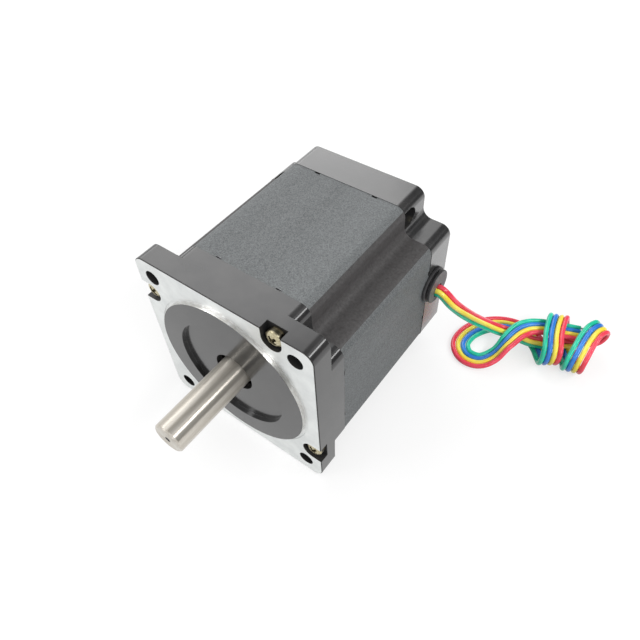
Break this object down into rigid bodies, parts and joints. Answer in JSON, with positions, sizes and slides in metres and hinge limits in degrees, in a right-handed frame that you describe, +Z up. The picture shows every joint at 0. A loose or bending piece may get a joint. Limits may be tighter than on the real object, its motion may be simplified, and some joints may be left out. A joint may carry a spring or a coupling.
{
  "type": "stepper motor",
  "caption": "Square hybrid stepper motor with a notched laminated body, round pilot, plain shaft and coloured flying leads from a side grommet.",
  "frame": {"origin": "centre of the mounting flange's front face, on the shaft's axis", "axes": "+Y from the mounting face to the rear, so the shaft points to -Y; +Z up and +X right as the front is seen, with the motor lying on its lower side"},
  "size_m": [0.1589, 0.1758, 0.086],
  "materials": {
    "machined_aluminium": "satin, glossy black paint in the pilot's recess",
    "lamination_steel": "matte black coat over laminations",
    "cast_aluminium": "semi-gloss dark grey coat",
    "insulator_nylon": "matte",
    "copper_winding": "enamelled copper",
    "circuit_board": "satin",
    "tail_insulation": "gloss",
    "black_rubber": "matte",
    "zinc_screw": "yellow zinc",
    "shaft_steel": "ground and polished",
    "rotor_steel": "ground",
    "magnet": "nickel",
    "spacer_aluminium": "satin",
    "bearing_steel": "polished",
    "shield_steel": "satin",
    "cage_nylon": "matte",
    "spring_steel": "satin",
    "red_insulation": "gloss",
    "yellow_insulation": "gloss",
    "blue_insulation": "gloss",
    "green_insulation": "gloss",
    "tinned_copper": "satin"
  },
  "bodies": {
    "case": {"front_bell": "machined_aluminium", "stator_core": "lamination_steel", "rear_bell": "cast_aluminium", "front_insulator": "insulator_nylon", "rear_insulator": "insulator_nylon", "coils_phase_a": "copper_winding", "coils_phase_b": "copper_winding", "terminal_board": "circuit_board", "lead_tails": "tail_insulation", "grommet": "black_rubber", "tie_screws": "zinc_screw", "tie_washers": "zinc_screw", "front_bearing_outer_ring": "bearing_steel", "front_bearing_shields": "shield_steel", "rear_bearing_outer_ring": "bearing_steel", "rear_bearing_shields": "shield_steel", "wave_washer": "spring_steel", "lead_red": "red_insulation", "lead_yellow": "yellow_insulation", "lead_blue": "blue_insulation", "lead_green": "green_insulation", "hank_red": "red_insulation", "hank_yellow": "yellow_insulation", "hank_blue": "blue_insulation", "hank_green": "green_insulation", "lead_ends": "tinned_copper"},
    "rotor": {"shaft": "shaft_steel", "rotor_core_1": "rotor_steel", "rotor_core_2": "rotor_steel", "rotor_core_3": "rotor_steel", "rotor_core_4": "rotor_steel", "rotor_magnet_front": "magnet", "rotor_magnet_rear": "magnet", "rotor_spacer": "spacer_aluminium", "front_bearing_inner_ring": "bearing_steel", "rear_bearing_inner_ring": "bearing_steel"},
    "front_cage": {"front_bearing_balls": "bearing_steel", "front_bearing_cage": "cage_nylon"},
    "rear_cage": {"rear_bearing_balls": "bearing_steel", "rear_bearing_cage": "cage_nylon"}
  },
  "joints": [
    {"name": "shaft_spin", "type": "hinge", "parent": "case", "child": "rotor", "pos_m": [0, 0, 0], "axis": [0, 1, 0], "continuous": true},
    {"name": "front_cage_spin", "type": "hinge", "parent": "case", "child": "front_cage", "pos_m": [0, 0.0106, 0], "axis": [0, 1, 0], "continuous": true},
    {"name": "rear_cage_spin", "type": "hinge", "parent": "case", "child": "rear_cage", "pos_m": [0, 0.0862, 0], "axis": [0, 1, 0], "continuous": true}
  ],
  "couplings": [
    {"joint": "front_cage_spin", "follows": "shaft_spin", "ratio": 0.3816},
    {"joint": "rear_cage_spin", "follows": "shaft_spin", "ratio": 0.3648}
  ]
}
